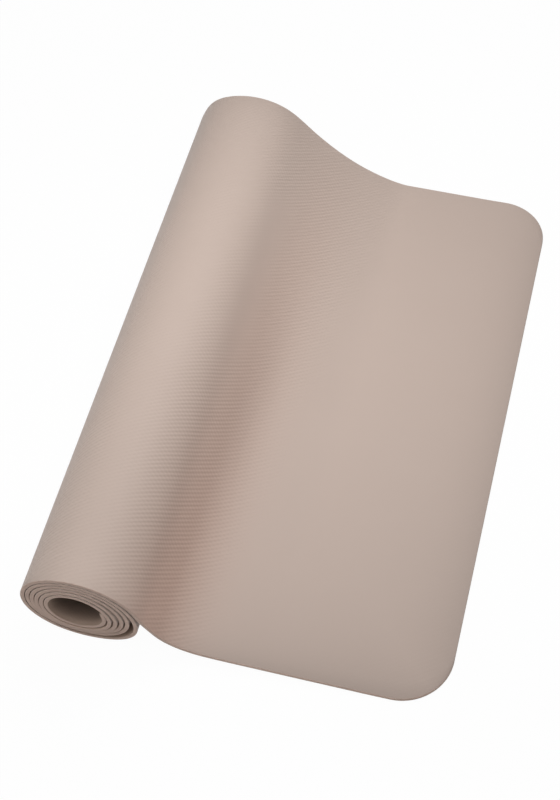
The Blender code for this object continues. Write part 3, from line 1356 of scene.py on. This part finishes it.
@dataclass
class Mat:
    """The whole mat, as pieces; the wound strip and the crest ride on the roll's body."""

    sizes: MatSizes
    palette: Palette
    crest_lead: float = 0.016
    bend_share: float = 0.9
    longest_bend: float = 0.040
    joints: dict[str, Mapping[str, Any]] = field(init=False)

    def __post_init__(self) -> None:
        """Finds each body's joint in the frame."""
        self.joints = {joint["child"]: joint for joint in frame["joints"]}

    def build(self) -> list[Piece]:
        """Makes all pieces.

        Returns:
            The pieces, from the roll outwards.
        """
        lines = SheetLines(self.sizes)
        starts = self._starts(lines)
        ends = list(starts.values()) + [float(lines.along[-1])]
        made = [WoundStrip(self.sizes, self.palette).build(), self._crest(lines, ends[0])]
        for (body, start), end in zip(starts.items(), ends[1:]):
            kind = FreeEnd if body == "flap_end" else Stretch
            stretch = kind(f"{body}_sheet", lines, self.palette, start, end)
            piece = stretch.build()
            self._bend(piece, body, lines, stretch)
            self._stand_for(piece, body)
            stretch.declare(piece, ["floor"] if body.startswith("flap") else [made[-1].name])
            made.append(piece)
        return made

    def _starts(self, lines: SheetLines) -> dict[str, float]:
        """Finds where the stretches beyond the crest start: each midway between its joint and the one before.

        Args:
            lines: the sheet's lines.

        Returns:
            The places, by body. The first lies a little before its joint.
        """
        cuts = list(lines.cuts.values())
        places = [cuts[0] - self.crest_lead]
        places += [(before + cut) / 2 for before, cut in zip(cuts, cuts[1:])]
        return dict(zip(lines.cuts, places))

    def _crest(self, lines: SheetLines, end: float) -> Piece:
        """Makes the outer half turn and the crest, which stay on the roll.

        Args:
            lines: the sheet's lines.
            end: the place at which the slope starts.

        Returns:
            The piece.
        """
        stretch = Stretch("crest_sheet", lines, self.palette, 0.0, end)
        piece = stretch.build()
        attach(piece, "roll")
        self._stand_for(piece, "crest")
        stretch.declare(piece, ["roll_turns"])
        return piece

    @staticmethod
    def _stand_for(piece: Piece, part: str) -> None:
        """Lets the piece stand for the three layers of one part of the mat."""
        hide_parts(*(f"{layer}_{part}" for layer in ("top_foam", "scrim", "base_foam")))

    def _bend(self, piece: Piece, body: str, lines: SheetLines, stretch: Stretch) -> None:
        """Works out how far a stretch would bend on each side of the joint that it holds, logs it and bakes the
        piece's transform.

        Args:
            piece: the stretch's object.
            body: the body whose joint it holds.
            lines: the sheet's lines.
            stretch: the stretch's places.
        """
        joint = self.joints[body]
        hinge, axis = Vector(joint["pos_m"]), Vector(joint["axis"]).normalized()
        heading = lines.heading(lines.cuts[body])
        heading = (heading - heading.dot(axis) * axis).normalized()
        y = self.sizes.width / 2
        reaches = []
        for place in (stretch.start, stretch.end):
            near, far, _, _ = lines.section(place)
            corners = (Vector((near[0], -y, near[1])), Vector((far[0], y, far[1])))
            reaches += [abs((corner - hinge).dot(heading)) for corner in corners]
        half = heading * min(self.bend_share * min(reaches), self.longest_bend)
        log.info("%s bends over %.1f mm", piece.name, 2 * half.length / MILLIMETRE)
        hinge - half
        hinge + half
        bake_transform(piece)


# The studio


@dataclass(frozen=True)
class SoftBox:
    """A large soft lamp."""

    name: str
    place: tuple[float, float, float]
    aim: tuple[float, float, float]
    size: tuple[float, float]
    watts: float

    def build(self) -> None:
        """Makes the lamp, which the camera doesn't see."""
        data = bpy.data.lights.new(self.name, "AREA")
        data.shape = "RECTANGLE"
        data.size, data.size_y = self.size
        data.energy = self.watts
        lamp = add_object(self.name, data)
        direction = Vector(self.aim) - Vector(self.place)
        turn = direction.to_track_quat("-Z", "Y").to_matrix().to_4x4()
        lamp.matrix_world = Matrix.Translation(self.place) @ turn
        lamp.visible_camera = False


@dataclass
class Studio:
    """The floor, the backdrop, the lamps and the camera of a plain product picture."""

    world_strength: float = 0.12
    shadow_share: float = 0.03
    floor_colour: Colour = (0.95, 0.95, 0.95)
    floor_half: float = 6.0
    lamps: Sequence[SoftBox] = (
        SoftBox("back", (0.2, 1.8, 2.2), (0.0, 0.0, 0.0), (2.4, 1.6), 24.0),
        SoftBox("high_front", (-0.1, -0.7, 2.0), (-0.1, -0.2, 0.0), (0.8, 0.8), 6.8),
        SoftBox("low_front", (0.0, -2.2, 0.8), (0.0, 0.0, 0.0), (2.4, 1.2), 2.5),
        SoftBox("left", (-0.5, -0.3, 0.8), (0.0, 0.0, 0.0), (0.5, 0.5), 1.6),
        SoftBox("above", (0.05, 0.1, 0.6), (0.05, 0.1, 0.0), (0.4, 0.4), 1.5),
    )
    frame_pixels: tuple[int, int] = (560, 800)
    focal_pixels: float = 1599.8
    sensor_width: float = 36.0
    clip: tuple[float, float] = (0.05, 60.0)
    camera_place: tuple[float, float, float] = (0.27459257, -0.89592166, 1.35891168)
    azimuth: float = math.radians(18.925)
    elevation: float = math.radians(55.256)
    roll: float = math.radians(-5.608)

    def build(self) -> None:
        """Makes everything round the mat."""
        bpy.context.scene.view_settings.view_transform = "Standard"
        self._camera()
        self._world()
        self._floor()
        for lamp in self.lamps:
            lamp.build()

    def _camera(self) -> None:
        """Sets the camera where the picture was taken from."""
        data = bpy.data.cameras.new("camera")
        data.sensor_width = self.sensor_width
        data.lens = self.focal_pixels / max(self.frame_pixels) * data.sensor_width
        data.clip_start, data.clip_end = self.clip
        level = math.cos(self.elevation)
        x, y = math.sin(self.azimuth) * level, -math.cos(self.azimuth) * level
        back = Vector((x, y, math.sin(self.elevation)))
        right = (-back).cross(Vector((0, 0, 1))).normalized()
        up = right.cross(-back)
        across = right * math.cos(self.roll) + up * math.sin(self.roll)
        upright = up * math.cos(self.roll) - right * math.sin(self.roll)
        camera = add_object("camera", data)
        turn = Matrix((across, upright, back)).transposed().to_4x4()
        camera.matrix_world = Matrix.Translation(self.camera_place) @ turn
        bpy.context.scene.camera = camera

    @staticmethod
    def _seen(bench: Bench) -> Value:
        """Tells which rays show the background, seen straight, mirrored or through glass.

        Args:
            bench: the bench of the world or the floor's material.

        Returns:
            1 for those rays, and 0 for those that light the mat.
        """
        path = bench.add("ShaderNodeLightPath")
        kinds = ("Camera", "Glossy", "Transmission")
        straight, mirrored, through = [bench.value(path, f"Is {kind} Ray") for kind in kinds]
        return bench.larger(straight, bench.larger(mirrored, through))

    def _world(self) -> None:
        """Makes the white surroundings, dimmer as light than as background."""
        world = bpy.data.worlds.new("studio")
        bpy.context.scene.world = world
        bench = Bench.emptied(world)
        light = bench.add("ShaderNodeBackground", None, {0: WHITE, 1: self.world_strength})
        shown = bench.add("ShaderNodeBackground", None, {0: WHITE, 1: 1.0})
        sockets = {0: self._seen(bench), 1: light.outputs[0], 2: shown.outputs[0]}
        mix = bench.add("ShaderNodeMixShader", None, sockets)
        bench.add("ShaderNodeOutputWorld", None, {0: mix.outputs[0]})

    def _floor(self) -> None:
        """Makes the white floor, which keeps a pale shadow of the mat."""
        material = bpy.data.materials.new("white_floor")
        bench = Bench.emptied(material)
        matte = bench.add("ShaderNodeBsdfDiffuse", None, {0: (*self.floor_colour, 1.0)})
        white = bench.add("ShaderNodeEmission", None, {0: WHITE, 1: 1.0})
        share = self._seen(bench) * (1 - self.shadow_share)
        mix = bench.add("ShaderNodeMixShader", None, {0: share, 1: matte.outputs[0], 2: white.outputs[0]})
        bench.add("ShaderNodeOutputMaterial", None, {0: mix.outputs[0]})
        half = self.floor_half
        mesh = bpy.data.meshes.new("floor")
        corners = [(-half, -half, 0), (half, -half, 0), (half, half, 0), (-half, half, 0)]
        mesh.from_pydata(corners, [], [(0, 1, 2, 3)])
        mesh.materials.append(material)
        add_object("floor", mesh)


def main() -> None:
    """Builds the studio and the mat, and reports each piece."""
    logging.basicConfig(level=logging.INFO, format="%(name)s: %(message)s")
    Studio().build()
    mat = Mat(MatSizes(), Palette())
    for piece in mat.build():
        log.info("%s: %d faces", piece.name, len(piece.data.polygons))


if __name__ == "__main__":
    main()
